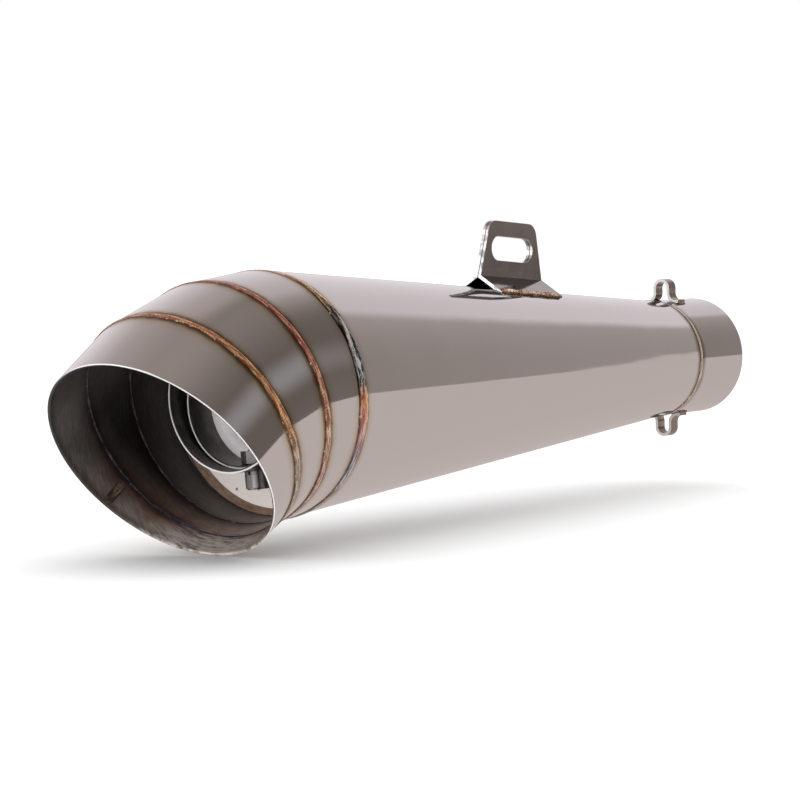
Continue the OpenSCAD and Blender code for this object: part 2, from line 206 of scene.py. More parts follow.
def grid_object(name, loops, closed_round=True, slots=None, traits=None):
    """A closed skin: loops is (around, section, 3), each section a closed outline."""
    around, section = loops.shape[:2]
    verts = loops.reshape(-1, 3)
    faces, kinds = [], []
    spans = around if closed_round else around - 1
    for i in range(spans):
        a, b = i * section, ((i + 1) % around) * section
        for j in range(section):
            k = (j + 1) % section
            faces.append((a + j, a + k, b + k, b + j))
            kinds.append(slots[j] if slots else 0)
    if not closed_round:
        last = (around - 1) * section
        faces.append(tuple(reversed(range(section))))
        faces.append(tuple(range(last, last + section)))
        kinds += [0, 0]
    mesh = bpy.data.meshes.new(name)
    mesh.from_pydata(verts.tolist(), [], faces)
    mesh.polygons.foreach_set("material_index", kinds)
    for key, values in (traits or {}).items():
        layer = mesh.attributes.new(key, "FLOAT", "POINT")
        layer.data.foreach_set("value", np.asarray(values, np.float32).ravel())
    mesh.update()
    made = bpy.data.objects.new(name, mesh)
    bpy.context.scene.collection.objects.link(made)
    outward(made)
    return made


def outward(made):
    """Turns the faces outwards and keeps only the real edges sharp."""
    work = bmesh.new()
    work.from_mesh(made.data)
    bmesh.ops.recalc_face_normals(work, faces=work.faces)
    work.to_mesh(made.data)
    work.free()
    made.data.shade_smooth()
    made.data.set_sharp_from_angle(angle=SHARP_FROM)


def joined(name, parts):
    """Several made objects as one."""
    bpy.ops.object.select_all(action="DESELECT")
    for part in parts:
        part.select_set(True)
    bpy.context.view_layer.objects.active = parts[0]
    if len(parts) > 1:
        bpy.ops.object.join()
    made = parts[0]
    made.name = made.data.name = name
    return made


def placed(made, materials, node):
    """Puts a piece on the muffler's body in place of a CAD node."""
    for material in materials:
        made.data.materials.append(material)
    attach(made, BODY)
    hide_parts(node)


def rough(p, scale, seed=0.0):
    """Smooth noise from about -1 to 1 at a point."""
    return noise.noise(Vector(p) * scale + Vector((seed, SEED, -seed)))


def rough_all(points, scale, seed=0.0):
    """The same noise at many points."""
    return np.array([rough(p, scale, seed) for p in points])


def rim_outline(wall, edge):
    """(set back, depth, kind) round a cut edge: a small outer corner and a broad inner one."""
    steps = [math.radians(a) for a in (0, 30, 60, 90)]
    broad = wall - edge
    outer = [(edge * (1 - math.sin(a)), edge * (1 - math.cos(a)), 1) for a in steps]
    inner = [(broad * (1 - math.sin(a)), wall - broad * (1 - math.cos(a)), 2)
             for a in reversed(steps)]
    return outer + inner


def sheet_piece(name, sheet, rows, near_edge=0.0, far_edge=0.0):
    """A sheet tube as a closed skin: 0 outer side, 1 cut rims, 2 inner side."""
    turns = np.linspace(0, 2 * math.pi, TURNS, endpoint=False)
    wall, columns, slots = sheet.wall, [], []

    def side(depth, kind, first, last, backwards):
        a = sheet.at(turns, sheet.near, depth, first)
        b = sheet.at(turns, sheet.far, depth, -last)
        steps = [0.0, SUPPORT] + [i / rows for i in range(1, rows)] + [1.0 - SUPPORT, 1.0]
        for share in reversed(steps) if backwards else steps:
            columns.append(a + (b - a) * share)
            slots.append(kind)
        slots[-1] = 1

    def rim(plane, edge, sign, backwards):
        outline = rim_outline(wall, edge)[1:-1] if edge else []
        for back, depth, kind in reversed(outline) if backwards else outline:
            columns.append(sheet.at(turns, plane, depth, sign * back))
            slots.append(kind)

    near_in = wall - near_edge if near_edge else 0.0
    far_in = wall - far_edge if far_edge else 0.0
    side(0.0, 0, near_edge, far_edge, False)
    rim(sheet.far, far_edge, -1, False)
    side(wall, 2, near_in, far_in, True)
    rim(sheet.near, near_edge, 1, True)
    return grid_object(name, np.stack(columns, axis=1), slots=slots)


# ---------- weld beads ----------


def ripple(along, v, pitch, bow):
    """Height of the weld's ripples, each bowed back at its sides."""
    phase = along / pitch - bow * v * v
    part = phase - math.floor(phase)
    return part * part * (1.2 - part) * 5 - 0.5


def bead_traits(around, across, along, turn):
    """Attributes that the weld materials read: place across, along and round the bead."""
    shape = (around, len(across))
    return {
        "across": np.broadcast_to(across, shape),
        "along": np.broadcast_to(along[:, None], shape),
        "turn": np.broadcast_to(turn[:, None], shape),
    }


def window(value, low, high, soft):
    """1 between low and high, with soft ends."""
    up = np.clip((value - low) / soft + 0.5, 0, 1)
    down = np.clip((high - value) / soft + 0.5, 0, 1)
    return up * up * (3 - 2 * up) * down * down * (3 - 2 * down)


def ring_bead(name, a, b, plane, width, height, pitch, amount, inside=False, seed=0.0,
              molten=None):
    """A bead round the seam between two sheets, on their outer or inner side."""
    count = max(360, int(2 * math.pi * a.radius / pitch * 7))
    turns = np.linspace(0, 2 * math.pi, count, endpoint=False)
    down = np.degrees(np.arccos(np.cos(turns)))
    depth_a, depth_b = (a.wall, b.wall) if inside else (0.0, 0.0)
    sign = -1.0 if inside else 1.0
    spokes = (a.spokes(turns) + b.spokes(turns)) / 2
    seam = a.at(turns, plane, depth_a)
    pool = window(down, *molten, 14.0) if molten else np.zeros(count)
    wander = rough_all(seam, 55, seed)
    lumps = rough_all(seam, 420, seed + 9)
    swell = 1 + 0.14 * rough_all(seam, 110, seed + 7)
    low = window(down, 70, 200, 60.0) * (0.0 if inside else 0.28)
    wide = width * swell * (1 + 0.50 * pool + low + 0.05 * lumps)
    top = 1.0 if inside else 0.30 + 0.70 * np.clip((down - 12) / 40, 0, 1)
    along = turns * a.radius + rough_all(seam, 240, seed + 3) * pitch * 0.9
    columns, across = [], []
    for v in np.linspace(-1, 1, 13):
        reach = v * wide / 2 + wander * width * 0.10
        flat = np.where(
            (reach < 0)[:, None],
            a.at(turns, plane, depth_a, reach),
            b.at(turns, plane, depth_b, reach),
        )
        crown = (1 - v * v) ** 0.65
        wave = np.array([ripple(s, v, pitch, 0.55) for s in along])
        churn = rough_all(flat, 430, seed + 5)
        lift = height * crown * swell * top * (1 + 0.3 * pool) + amount * wave * crown
        lift += (0.08 + 0.55 * pool) * height * churn * crown - 0.00004
        columns.append(flat + spokes * (sign * lift)[:, None])
        across.append(v)
    for v in (0.9, -0.9):
        sheet, depth = (b, depth_b) if v > 0 else (a, depth_a)
        flat = sheet.at(turns, plane, depth, v * wide / 2 + wander * width * 0.10)
        columns.append(flat - spokes * sign * WELD_SINK)
        across.append(v)
    traits = bead_traits(count, np.array(across), turns * a.radius, down / 180)
    return grid_object(name, np.stack(columns, axis=1), traits=traits)


def line_bead(name, path, outs, width, height, pitch, amount, seed=0.0, sink=0.0004):
    """A bead along an open path, whose outs point away from the sheet."""
    path, outs = np.array(path), np.array(outs)
    ahead = np.gradient(path, axis=0)
    ahead /= np.linalg.norm(ahead, axis=1)[:, None]
    wide = np.cross(outs, ahead)
    gaps = np.linalg.norm(np.diff(path, axis=0), axis=1)
    along = np.concatenate([[0], np.cumsum(gaps)])
    total = along[-1]
    ends = np.sqrt(np.clip(np.minimum(along, total - along) / (width * 0.5), 0.03, 1))
    swell = 1 + 0.18 * rough_all(path, 170, seed)
    columns, across = [], []
    for v in np.linspace(-1, 1, 11):
        crown = (1 - v * v) ** 0.6
        wave = np.array([ripple(s + 0.2 * pitch, v, pitch, 0.6) for s in along])
        lift = (height * swell * crown + amount * wave * crown) * ends
        columns.append(path + wide * (v * width / 2 * ends * swell)[:, None] + outs * lift[:, None])
        across.append(v)
    for v in (0.7, -0.7):
        columns.append(path + wide * (v * width / 2 * ends)[:, None] - outs * sink)
        across.append(v)
    loops = np.stack(columns, axis=1)
    traits = bead_traits(len(path), np.array(across), along, along / total)
    return grid_object(name, loops, closed_round=False, traits=traits)


# ---------- materials ----------


class Shade:
    """A procedural material, put together node by node."""

    def __init__(self, name, world=False):
        self.block = bpy.data.worlds.new(name) if world else bpy.data.materials.new(name)
        self.block.use_nodes = True
        self.tree = self.block.node_tree
        self.tree.nodes.clear()

    def node(self, kind, values=None, **settings):
        """A node with its inputs filled, by number or name, and its settings."""
        made = self.tree.nodes.new(kind)
        for key, value in settings.items():
            setattr(made, key, value)
        for key, value in (values or {}).items():
            self.put(made.inputs[key], value)
        return made

    def put(self, socket, value):
        """Links another node's output to an input, or sets its value."""
        if isinstance(value, bpy.types.NodeSocket):
            self.tree.links.new(value, socket)
        elif isinstance(value, (tuple, list)) and socket.type == "RGBA":
            socket.default_value = (*value, 1.0)[:4]
        else:
            socket.default_value = value

    def math(self, operation, a, b=0.0, c=0.0):
        return self.node("ShaderNodeMath", {0: a, 1: b, 2: c}, operation=operation).outputs[0]

    def vector(self, operation, a, b=(0.0, 0.0, 0.0)):
        made = self.node("ShaderNodeVectorMath", {0: a, 1: b}, operation=operation)
        return made.outputs["Value" if operation in ("DOT_PRODUCT", "LENGTH") else "Vector"]

    def fade(self, value, low, high, start=0.0, end=1.0, smooth=True):
        """Goes from start to end while the value goes from low to high."""
        kind = "SMOOTHSTEP" if smooth else "LINEAR"
        made = self.node(
            "ShaderNodeMapRange",
            {0: value, 1: low, 2: high, 3: start, 4: end},
            interpolation_type=kind,
        )
        return made.outputs[0]

    def ramp(self, value, stops):
        """A colour or a grey that runs through (place, colour) stops."""
        made = self.node("ShaderNodeValToRGB", {0: value})
        band = made.color_ramp
        while len(band.elements) < len(stops):
            band.elements.new(0.5)
        for element, (place, colour) in zip(band.elements, stops):
            element.position = place
            shade = colour if isinstance(colour, tuple) else (colour,) * 3
            element.color = (*shade, 1.0)
        return made.outputs[0]

    def curve(self, value, low, high, stops):
        """A ramp over a value's own range."""
        place = self.fade(value, low, high, smooth=False)
        return self.ramp(place, [((v - low) / (high - low), c) for v, c in stops])

    def blend(self, share, a, b, kind="MIX"):
        """Colour a, with a share of colour b."""
        made = self.node("ShaderNodeMix", data_type="RGBA", blend_type=kind)
        self.put(made.inputs[0], share)
        self.put(made.inputs[6], a)
        self.put(made.inputs[7], b)
        return made.outputs[2]

    def place(self, scale=(1.0, 1.0, 1.0)):
        """The point in the part's own frame."""
        coord = self.node("ShaderNodeTexCoord").outputs["Object"]
        return self.vector("MULTIPLY", coord, scale)

    def coordinate(self, axis):
        """The point's x, y or z."""
        return self.node("ShaderNodeSeparateXYZ", {0: self.place()}).outputs[axis]

    def noise(self, scale, detail=3.0, roughness=0.5, stretch=(1.0, 1.0, 1.0)):
        made = self.node(
            "ShaderNodeTexNoise",
            {"Vector": self.place(stretch), "Scale": scale, "Detail": detail},
        )
        made.inputs["Roughness"].default_value = roughness
        return made.outputs["Fac"]

    def bump(self, height, strength, distance, normal=None):
        made = self.node(
            "ShaderNodeBump", {"Height": height, "Strength": strength, "Distance": distance}
        )
        if normal is not None:
            self.put(made.inputs["Normal"], normal)
        return made.outputs[0]

    def soft_edge(self, radius):
        """A normal that rounds the CAD solids' corners."""
        made = self.node("ShaderNodeBevel", {"Radius": radius}, samples=4)
        return made.outputs[0]

    def metal(self, colour, roughness, normal=None, metallic=1.0, **more):
        """Ends the material with one principled shader."""
        values = {"Base Color": colour, "Metallic": metallic, "Roughness": roughness}
        made = self.node("ShaderNodeBsdfPrincipled", {**values, **more})
        if normal is not None:
            self.put(made.inputs["Normal"], normal)
        out = self.node("ShaderNodeOutputMaterial")
        self.tree.links.new(made.outputs[0], out.inputs["Surface"])
        return self.block

    def from_seams(self):
        """Distance in millimetres from the nearest mitre weld of the elbow."""
        spot = self.place()
        least = None
        for point, normal in MITRES:
            rel = self.vector("SUBTRACT", spot, tuple(point))
            gap = self.vector("DOT_PRODUCT", rel, tuple(normal))
            gap = self.math("ABSOLUTE", gap)
            least = gap if least is None else self.math("MINIMUM", least, gap)
        return self.math("MULTIPLY", least, 1000.0)


def mitre_tint(s, gap):
    """Brown, then straw, beside the elbow's welds."""
    wander = s.math("MULTIPLY_ADD", s.noise(190, 3, 0.6), 2.0, -1.0)
    return s.curve(s.math("ADD", gap, wander), 0.0, 8.0, [
        (1.6, (0.14, 0.10, 0.08)),
        (2.3, (0.34, 0.25, 0.18)),
        (2.9, (0.62, 0.50, 0.37)),
        (3.5, (0.84, 0.76, 0.62)),
        (4.6, (0.94, 0.90, 0.83)),
        (6.6, WHITE),
    ])


def collar_tint(s):
    """Brown beside the inlet weld."""
    gap = s.math("SUBTRACT", s.coordinate(0), float(COLLAR.far[0][0]))
    gap = s.math("MULTIPLY", s.math("ABSOLUTE", gap), 1000.0)
    gap = s.math("MULTIPLY_ADD", s.noise(120, 2), 2.4, s.math("SUBTRACT", gap, 1.2))
    return s.curve(gap, 0.0, 6.0, [(0.8, (0.25, 0.19, 0.15)), (2.2, (0.52, 0.43, 0.35)),
                                   (4.5, WHITE)])


def polished_steel(name):
    """Mirror-polished sheet, heat-tinted beside the welds."""
    s = Shade(name)
    grain = s.noise(900, 2, 0.5, (0.05, 1, 1))
    cloud = s.noise(38, 3, 0.55)
    gap = s.from_seams()
    colour = s.blend(1.0, STEEL, mitre_tint(s, gap), "MULTIPLY")
    colour = s.blend(1.0, colour, collar_tint(s), "MULTIPLY")
    colour = s.blend(s.math("MULTIPLY", cloud, 0.10), colour, (0.70, 0.68, 0.68))
    roughness = s.math("MULTIPLY_ADD", cloud, 0.035, 0.035)
    roughness = s.math("MULTIPLY_ADD", s.fade(gap, 5.5, 1.5), 0.10, roughness)
    height = s.math("ADD", s.noise(22, 1), s.math("MULTIPLY", grain, 0.012))
    return s.metal(colour, roughness, s.bump(height, 0.10, 1.6 * MM))


def cut_edge():
    """Bare cut sheet, with painted light where the mouth's rim faces up and out, painted shade below.
    """
    s = Shade("cut_edge")
    grain = s.noise(1500, 3, 0.6)
    colour = s.ramp(grain, [(0.3, (0.84, 0.83, 0.82)), (0.7, (0.98, 0.98, 0.98))])
    middle = tuple(MOUTH.far[0])
    rel = s.vector("SUBTRACT", s.place(), middle)
    # painted light and shade: bright where the rim faces up and out, dark below
    lit = s.fade(s.vector("DOT_PRODUCT", rel, (0.25, -0.70, 0.66)), -0.018, 0.012)
    worn = s.fade(s.noise(900, 3, 0.7), 0.50, 0.62, 0.0, 0.22)
    colour = s.blend(s.math("MAXIMUM", lit, worn), (0.09, 0.08, 0.08), colour)
    normal = s.bump(grain, 0.25, 0.2 * MM)
    return s.metal(colour, 0.34, normal, metallic=0.5)


def inner_tint(s):
    """Purple, brown and straw on the inner side of the elbow's welds."""
    wander = s.math("MULTIPLY_ADD", s.noise(110, 3), 4.0, -2.0)
    return s.curve(s.math("ADD", s.from_seams(), wander), 0.0, 12.0, [
        (0.3, (0.18, 0.15, 0.22)),
        (1.6, (0.34, 0.24, 0.30)),
        (3.2, (0.78, 0.55, 0.46)),
        (5.5, (0.92, 0.82, 0.76)),
        (9.5, WHITE),
    ])


def inner_sheet(name):
    """The unpolished inner side, brushed round the tube: darker with depth, with painted light and
    sheen low down.
    """
    s = Shade(name)
    streak = s.noise(520, 4, 0.6, (2.4, 0.35, 0.35))
    cloud = s.noise(70, 4, 0.6)
    base = s.ramp(
        s.math("MULTIPLY_ADD", streak, 0.50, s.math("MULTIPLY", cloud, 0.5)),
        [(0.34, (0.27, 0.235, 0.215)), (0.50, (0.40, 0.355, 0.33)), (0.64, (0.60, 0.55, 0.52))],
    )
    colour = s.blend(1.0, base, inner_tint(s), "MULTIPLY")
    # depth inside the mouth, in millimetres
    point, normal = MOUTH.far
    rel = s.vector("SUBTRACT", s.place(), tuple(point))
    deep = s.math("MULTIPLY", s.vector("DOT_PRODUCT", rel, tuple(normal)), -1000.0)
    # darker with depth inside the mouth
    depth_darkening = s.curve(deep, 0.0, 80.0, [(0.2, 0.12), (4, 0.35), (30, 0.06), (78, 0.03)])
    colour = s.blend(1.0, colour, depth_darkening, "MULTIPLY")
    # painted light: near the mouth's bottom the inner side is brightened up to about three times
    low = float(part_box("mouth_segment")[0].z)
    rise = s.coordinate(2)
    bottom = s.fade(rise, low + 45 * MM, low + 4 * MM)
    colour = s.blend(s.math("MULTIPLY", bottom, s.fade(deep, 60, 10)), colour,
                     s.blend(1.0, colour, (2.9, 2.6, 2.45), "MULTIPLY"))
    # painted sheen: pale streaks low down, close to the rim
    shine = s.math("MULTIPLY", s.fade(rise, low + 14 * MM, low + 4 * MM), s.fade(deep, 17, 7))
    shine = s.math("MULTIPLY", shine, s.fade(streak, 0.34, 0.60, 0.15, 0.9))
    colour = s.blend(shine, colour, (0.90, 0.80, 0.74))
    roughness = s.math("MULTIPLY_ADD", streak, 0.25, 0.22)
    height = s.math("MULTIPLY_ADD", cloud, 2.0, streak)
    return s.metal(colour, roughness, s.bump(height, 0.3, 0.5 * MM), metallic=0.62)


def weld_metal(name, dark, light, shine=0.20, toe=0.16, pitch=ELBOW_PITCH, burnt=None):
    """Rippled weld metal with streaks and painted glints along it; both shades change round the seam.
    """
    s = Shade(name)
    across, along, turn = (
        s.node("ShaderNodeAttribute", attribute_name=key).outputs["Fac"]
        for key in ("across", "along", "turn")
    )
    side = s.math("ABSOLUTE", across)
    flow = s.node("ShaderNodeCombineXYZ", {0: s.math("MULTIPLY", along, 170.0),
                                           1: s.math("MULTIPLY", across, 1.7), 2: 3.0})
    streak = s.node("ShaderNodeTexNoise", {"Vector": flow.outputs[0], "Scale": 1.0,
                                           "Detail": 5.0, "Roughness": 0.68}).outputs["Fac"]
    grain = s.noise(1500, 3, 0.6)
    share = s.fade(streak, 0.44, 0.60)
    if burnt:
        # one side of the molten pool is burnt black
        zone = s.math("MULTIPLY", s.fade(turn, burnt[0], burnt[0] + 0.04),
                      s.fade(turn, burnt[1], burnt[1] - 0.04))
        black = s.math("MULTIPLY", zone, s.fade(across, 0.05, -0.30))
        share = s.math("MULTIPLY", share, s.math("SUBTRACT", 1.0, black))
        toe = s.fade(zone, 0.0, 1.0, toe, 0.02)
    colour = s.blend(share, s.ramp(turn, dark), s.ramp(turn, light))
    edge = s.fade(side, 0.50, 0.95, 1.0, toe)
    colour = s.blend(1.0, colour, edge, "MULTIPLY")
    # painted glints: pale gold spots on the bead's lighter streaks
    painted_glint = s.fade(s.noise(620, 2, 0.5), 0.60, 0.70, 0.0, 0.6)
    colour = s.blend(s.math("MULTIPLY", painted_glint, share), colour, (1.0, 0.93, 0.84))
    phase = s.math("MULTIPLY", along, 2 * math.pi / pitch)
    phase = s.math("MULTIPLY_ADD", s.math("MULTIPLY", side, side), 2.6, phase)
    phase = s.math("MULTIPLY_ADD", s.noise(300, 3), 9.0, phase)
    wave = s.math("MULTIPLY_ADD", s.math("SINE", phase), 0.5, 0.5)
    height = s.math("MULTIPLY_ADD", grain, 0.6, wave)
    roughness = s.math("MULTIPLY_ADD", grain, 0.16, shine)
    return s.metal(colour, roughness, s.bump(height, 0.38, 0.2 * MM), metallic=0.78)


def plain_weld(name, low, high, **more):
    """Weld metal of the same two shades all round."""
    return weld_metal(name, [(0.0, low), (1.0, low)], [(0.0, high), (1.0, high)], **more)


# Shades round each elbow weld, by share of the half turn from its top: copper, then a silver and
# black pool at the side, then pink, and grey below; mostly red; mostly gold
POOL_DARK = [(0.10, (0.30, 0.09, 0.05)), (0.22, (0.16, 0.09, 0.05)), (0.27, (0.02, 0.025, 0.035)),
             (0.46, (0.03, 0.04, 0.055)), (0.50, (0.42, 0.14, 0.07)), (0.62, (0.34, 0.16, 0.20)),
             (0.69, (0.16, 0.17, 0.22)), (0.78, (0.26, 0.18, 0.15))]
POOL_LIGHT = [(0.10, (0.78, 0.46, 0.26)), (0.22, (0.80, 0.58, 0.30)), (0.27, (0.62, 0.52, 0.36)),
              (0.44, (0.98, 0.98, 0.98)), (0.51, (0.98, 0.60, 0.32)), (0.62, (0.74, 0.50, 0.52)),
              (0.69, (0.66, 0.68, 0.72)), (0.80, (0.74, 0.62, 0.54))]
RED_DARK = [(0.0, (0.24, 0.07, 0.04)), (0.45, (0.30, 0.08, 0.05)), (0.60, (0.34, 0.15, 0.11)),
            (1.0, (0.34, 0.17, 0.15))]
RED_LIGHT = [(0.0, (0.66, 0.30, 0.20)), (0.35, (0.70, 0.32, 0.20)), (0.52, (0.84, 0.62, 0.36)),
             (0.70, (0.84, 0.56, 0.48)), (1.0, (0.74, 0.54, 0.48))]
GOLD_DARK = [(0.0, (0.28, 0.10, 0.05)), (0.48, (0.32, 0.13, 0.05)), (0.56, (0.24, 0.18, 0.13)),
             (1.0, (0.24, 0.19, 0.16))]
GOLD_LIGHT = [(0.0, (0.74, 0.38, 0.22)), (0.30, (0.82, 0.46, 0.24)), (0.50, (0.90, 0.56, 0.28)),
              (0.58, (0.70, 0.60, 0.46)), (1.0, (0.66, 0.58, 0.50))]


def end_plate_steel():
    """Satin plate, creamy from the heat, with dark specks, scratches and a faint painted glow."""
    s = Shade("end_plate_satin")
    cloud = s.noise(45, 4, 0.6)
    speck = s.node("ShaderNodeTexVoronoi", {"Vector": s.place(), "Scale": 210.0})
    spots = s.fade(speck.outputs["Distance"], 0.10, 0.17)
    some = s.fade(s.noise(75, 2), 0.47, 0.53)
    spots = s.math("MAXIMUM", spots, s.math("SUBTRACT", 1.0, some))
    colour = s.ramp(cloud, [(0.3, (0.93, 0.80, 0.74)), (0.6, (1.0, 0.95, 0.92))])
    colour = s.blend(s.math("SUBTRACT", 1.0, spots), colour, (0.30, 0.20, 0.17))
    scratch = s.noise(500, 3, 0.6, (1, 0.15, 1))
    marks = s.math("MULTIPLY", s.fade(scratch, 0.60, 0.68), s.fade(s.noise(55, 2), 0.45, 0.6))
    colour = s.blend(s.math("MULTIPLY", marks, 0.6), colour, (0.62, 0.46, 0.36))
    normal = s.bump(scratch, 0.15, 0.3 * MM)
    # painted light: a faint glow of the plate's own colour
    return s.metal(colour, 0.36, normal, metallic=0.12,
                   **{"Emission Color": colour, "Emission Strength": 0.26})


def outlet_lip(s, node):
    """1 on the outer half of a pipe's outlet end."""
    low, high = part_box(node)
    middle, radius = (low + high) / 2, (high.y - low.y) / 2
    end = s.fade(s.math("SUBTRACT", s.coordinate(0), low.x), 0.5 * MM, 0.25 * MM)
    rel = s.vector("SUBTRACT", s.place(), (0.0, middle.y, middle.z))
    off = s.vector("LENGTH", s.vector("MULTIPLY", rel, (0.0, 1.0, 1.0)))
    return s.math("MULTIPLY", end, s.fade(off, radius - 0.75 * MM, radius - 0.55 * MM))


def turned_steel(name, low, high, roughness, metallic=1.0, lip_of=None, painted_glow=0.0):
    """Sheet brushed round its axis, with a lip painted white as a highlight if a pipe's node is given,
    and an optional painted glow.
    """
    s = Shade(name)
    streak = s.noise(420, 4, 0.6, (4, 0.5, 0.5))
    cloud = s.noise(60, 3, 0.6)
    mixed = s.math("MULTIPLY_ADD", streak, 0.5, s.math("MULTIPLY", cloud, 0.5))
    colour = s.ramp(mixed, [(0.35, low), (0.65, high)])
    gloss = s.math("MULTIPLY_ADD", streak, 0.15, roughness)
    normal = s.bump(streak, 0.10, 0.3 * MM, s.soft_edge(0.3 * MM))
    share = metallic
    if lip_of:
        # painted highlight: the bare cut end's outer half is painted near white and matte
        lip = outlet_lip(s, lip_of)
        colour = s.blend(lip, colour, (1.0, 0.98, 0.98))
        gloss = s.math("MULTIPLY_ADD", lip, 0.25, gloss)
        share = s.fade(lip, 0.0, 1.0, metallic, 0.0)
    # painted light: an optional faint glow of the sheet's own colour
    return s.metal(colour, gloss, normal, metallic=share,
                   **{"Emission Color": colour, "Emission Strength": painted_glow})


def wool():
    """Matted mineral fibre."""
    s = Shade("matted_wool")
    fibre = s.noise(700, 6, 0.75, (1, 0.3, 0.3))
    tuft = s.noise(90, 4, 0.7)
    colour = s.ramp(fibre, [(0.3, (0.42, 0.38, 0.28)), (0.7, (0.85, 0.82, 0.70))])
    height = s.math("MULTIPLY_ADD", tuft, 2.0, fibre)
    return s.metal(colour, 0.95, s.bump(height, 0.9, 2 * MM), metallic=0.0)


def fastener_steel():
    """Bright nut and screw, with painted reflection stripes as on round polished bars."""
    s = Shade("bright_fasteners")
    grain = s.noise(1100, 3, 0.6)
    wear = s.noise(160, 3, 0.6)
    geometry = s.node("ShaderNodeNewGeometry").outputs["Normal"]
    # painted reflection stripes, from the camera's left (-1) to its right (1)
    facing = s.vector("DOT_PRODUCT", geometry, (math.cos(AZIMUTH), math.sin(AZIMUTH), 0.0))
    streak = s.curve(facing, -1.0, 1.0, [
        (-0.98, 0.04), (-0.80, 0.45), (-0.50, 0.30), (-0.28, 1.0), (-0.05, 0.55), (0.10, 0.05),
        (0.35, 0.60), (0.60, 0.10), (0.98, 0.03),
    ])
    colour = s.ramp(wear, [(0.3, (0.74, 0.71, 0.70)), (0.7, (1.0, 0.98, 0.97))])
    colour = s.blend(1.0, colour, streak, "MULTIPLY")
    roughness = s.math("MULTIPLY_ADD", grain, 0.12, 0.14)
    normal = s.bump(grain, 0.12, 0.2 * MM, s.soft_edge(0.3 * MM))
    return s.metal(colour, roughness, normal, metallic=0.35)


def painted_foot_shade(s):
    """Painted shade: the hanger is darker towards its foot."""
    low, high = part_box("hanger_right")
    tall = high.z - low.z
    return s.fade(s.coordinate(2), low.z + 0.44 * tall, low.z + 1.11 * tall, 0.62, 1.0, smooth=False)


def bracket_steel(name, low, high, seam=False):
    """Polished strip and plate, with pale cut edges, a dark line between stacked sheets and painted
    shade.
    """
    s = Shade(name)
    cloud = s.noise(70, 3, 0.5)
    grain = s.noise(800, 2, 0.5)
    colour = s.ramp(cloud, [(0.3, low), (0.7, high)])
    geometry = s.node("ShaderNodeNewGeometry")
    facing = s.node("ShaderNodeSeparateXYZ", {0: geometry.outputs["True Normal"]})
    cut = s.fade(s.math("ABSOLUTE", facing.outputs[0]), 0.90, 0.97)
    if seam:
        # painted shade: darker towards the hanger's foot
        colour = s.blend(1.0, colour, painted_foot_shade(s), "MULTIPLY")
        line = s.fade(s.math("ABSOLUTE", s.coordinate(1)), 0.1 * MM, 0.3 * MM)
        worn = s.fade(s.noise(260, 3), 0.36, 0.52, 0.1, 1.0)
        colour = s.blend(s.math("SUBTRACT", 1.0, line), colour, (0.05, 0.04, 0.04))
        cut = s.math("MULTIPLY", cut, s.math("MULTIPLY", line, worn))
    colour = s.blend(cut, colour, WHITE if seam else (0.62, 0.60, 0.59))
    # painted shade: the bracket is painted dark where the body mirrors it, as if its rear were unlit
    mirrored = s.node("ShaderNodeLightPath").outputs["Is Glossy Ray"]
    colour = s.blend(s.math("MULTIPLY", mirrored, 0.8), colour, (0.06, 0.055, 0.05))
    roughness = s.math("MULTIPLY_ADD", grain, 0.04, 0.07)
    share = s.fade(cut, 0.0, 1.0, 1.0, 0.35)
    normal = s.bump(cloud, 0.10, 0.8 * MM, s.soft_edge(0.3 * MM))
    return s.metal(colour, roughness, normal, metallic=share)


# ---------- the pieces ----------


def build_shell():
    """Collar, cone, elbow rings and mouth: polished outside, brushed inside."""
    kinds = [polished_steel("polished_sheet"), cut_edge(), inner_sheet("brushed_inside")]
    rows = (
        ("collar_polished", COLLAR, 4, COLLAR_RIM, 0.0, "inlet_collar"),
        ("cone_polished", CONE, 24, 0.0, 0.0, "cone_shell"),
        ("elbow_ring_1_polished", RING_1, 6, 0.0, 0.0, "elbow_ring_1"),
        ("elbow_ring_2_polished", RING_2, 6, 0.0, 0.0, "elbow_ring_2"),
        ("mouth_polished", MOUTH, 6, 0.0, MOUTH_RIM, "mouth_segment"),
    )
    for name, sheet, count, near_edge, far_edge, node in rows:
        made = sheet_piece(name, sheet, count, near_edge, far_edge)
        placed(made, kinds, node)


def build_elbow_welds():
    """The three mitre welds, each with its narrow root inside."""
    metals = [weld_metal("weld_pool", POOL_DARK, POOL_LIGHT, 0.10, burnt=BURNT),
              weld_metal("weld_red", RED_DARK, RED_LIGHT),
              weld_metal("weld_gold", GOLD_DARK, GOLD_LIGHT, 0.16)]
    root = plain_weld("weld_root", (0.03, 0.025, 0.03), (0.32, 0.27, 0.26), shine=0.4, toe=0.3)
    seams = ((CONE, RING_1, MOLTEN), (RING_1, RING_2, None), (RING_2, MOUTH, None))
    for i, (a, b, molten) in enumerate(seams):
        name = f"elbow_bead_{i + 1}"
        bead = ring_bead(name, a, b, a.far, ELBOW_WIDTHS[i], ELBOW_HEIGHT, ELBOW_PITCH,
                         ELBOW_RIPPLE, seed=i * 5.0, molten=molten)
        inner = ring_bead(name + "_root", a, b, a.far, ROOT_WIDTH, 0.22 * MM, ELBOW_PITCH,
                          0.06 * MM, inside=True, seed=i * 5.0 + 2)
        bead.data.materials.append(metals[i])
        inner.data.materials.append(root)
        placed(joined(name, [bead, inner]), [], f"elbow_weld_{i + 1}")


def build_inlet_weld():
    """The thin bead between the collar and the cone."""
    tan = plain_weld("weld_tan", (0.40, 0.31, 0.24), (0.82, 0.70, 0.58), shine=0.2, toe=0.12)
    made = ring_bead("inlet_bead", COLLAR, CONE, COLLAR.far, INLET_WIDTH, 0.42 * MM, 1.1 * MM,
                     0.03 * MM)
    placed(made, [tan], "inlet_weld")


